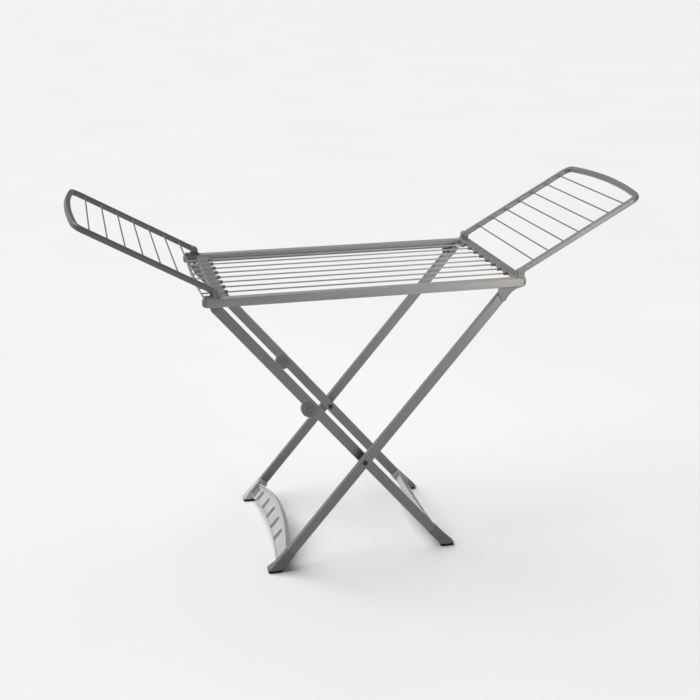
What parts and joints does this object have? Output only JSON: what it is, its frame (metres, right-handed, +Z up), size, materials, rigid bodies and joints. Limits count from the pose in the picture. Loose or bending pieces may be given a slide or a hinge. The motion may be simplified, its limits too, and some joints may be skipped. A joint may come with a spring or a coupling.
{
  "type": "folding clothes drying rack",
  "caption": "Free-standing winged clothes airer: crossed folding legs, lengthwise rods in a rail frame, a hinged raised wing at each end.",
  "frame": {"origin": "on the floor, at the centre of the bounding box plan: midway between the wing tips and between front and rear", "axes": "+X along the rods towards the right wing, +Y from the front rail to the rear rail, +Z up"},
  "size_m": [1.7722, 0.57, 1.1771],
  "materials": {
    "rail_profile": "satin warm grey extrusion",
    "grey_moulding": "fine textured grey moulding",
    "shoe_moulding": "fine textured light grey moulding",
    "black_moulding": "black moulding",
    "leg_paint": "satin blue-grey powder coat",
    "wing_paint": "satin dark grey powder coat",
    "rod_coating": "smooth grey coating",
    "pin_steel": "zinc plated",
    "foot_rubber": "matt"
  },
  "bodies": {
    "top_frame": {"centre_rod_1": "rod_coating", "centre_rod_2": "rod_coating", "centre_rod_3": "rod_coating", "centre_rod_4": "rod_coating", "centre_rod_5": "rod_coating", "centre_rod_6": "rod_coating", "centre_rod_7": "rod_coating", "centre_rod_8": "rod_coating", "front_left_end_cap": "grey_moulding", "front_leg_bracket": "grey_moulding", "front_pivot_block": "black_moulding", "front_rail": "rail_profile", "front_right_end_cap": "grey_moulding", "left_end_bar": "grey_moulding", "left_end_bow": "rod_coating", "rear_left_end_cap": "grey_moulding", "rear_leg_bracket": "grey_moulding", "rear_pivot_block": "black_moulding", "rear_rail": "rail_profile", "rear_right_end_cap": "grey_moulding", "right_end_bar": "grey_moulding", "wing_hinge_pins": "pin_steel"},
    "outer_legs": {"outer_front_foot_pad": "foot_rubber", "outer_front_foot_shoe": "shoe_moulding", "outer_front_leg_tube": "leg_paint", "outer_front_top_cap": "grey_moulding", "outer_rear_foot_pad": "foot_rubber", "outer_rear_foot_shoe": "shoe_moulding", "outer_rear_leg_tube": "leg_paint", "outer_rear_top_cap": "grey_moulding", "outer_slotted_arch": "shoe_moulding", "top_pivot_pins": "pin_steel"},
    "inner_legs": {"crossing_bolts": "pin_steel", "crossing_spacers": "black_moulding", "front_fold_catch": "grey_moulding", "inner_front_foot_pad": "foot_rubber", "inner_front_foot_shoe": "shoe_moulding", "inner_front_leg_tube": "leg_paint", "inner_front_top_cap": "grey_moulding", "inner_rear_foot_pad": "foot_rubber", "inner_rear_foot_shoe": "shoe_moulding", "inner_rear_leg_tube": "leg_paint", "inner_rear_top_cap": "grey_moulding", "inner_slotted_arch": "shoe_moulding", "rear_fold_catch": "grey_moulding", "slide_pins": "pin_steel", "slide_rollers": "black_moulding"},
    "left_wing": {"left_wing_bow": "wing_paint", "left_wing_front_hinge_arm": "grey_moulding", "left_wing_front_side_rail": "wing_paint", "left_wing_rear_hinge_arm": "grey_moulding", "left_wing_rear_side_rail": "wing_paint", "left_wing_rods": "rod_coating"},
    "right_wing": {"right_wing_bow": "wing_paint", "right_wing_front_hinge_arm": "grey_moulding", "right_wing_front_side_rail": "wing_paint", "right_wing_rear_hinge_arm": "grey_moulding", "right_wing_rear_side_rail": "wing_paint", "right_wing_rods": "rod_coating"}
  },
  "joints": [
    {"name": "outer_fold", "type": "hinge", "parent": "top_frame", "child": "outer_legs", "pos_m": [0.446, 0, 0.9065], "axis": [0, -1, 0], "range_deg": [0, 38]},
    {"name": "inner_fold", "type": "hinge", "parent": "outer_legs", "child": "inner_legs", "pos_m": [-0.023, 0, 0.35262], "axis": [0, -1, 0], "range_deg": [-76, 0]},
    {"name": "left_wing_hinge", "type": "hinge", "parent": "top_frame", "child": "left_wing", "pos_m": [-0.475, 0, 0.942], "axis": [0, 1, 0], "range_deg": [0, 150.7]},
    {"name": "right_wing_hinge", "type": "hinge", "parent": "top_frame", "child": "right_wing", "pos_m": [0.475, 0, 0.942], "axis": [0, -1, 0], "range_deg": [0, 150.7]}
  ],
  "couplings": [
    {"joint": "inner_fold", "follows": "outer_fold", "ratio": -2}
  ]
}
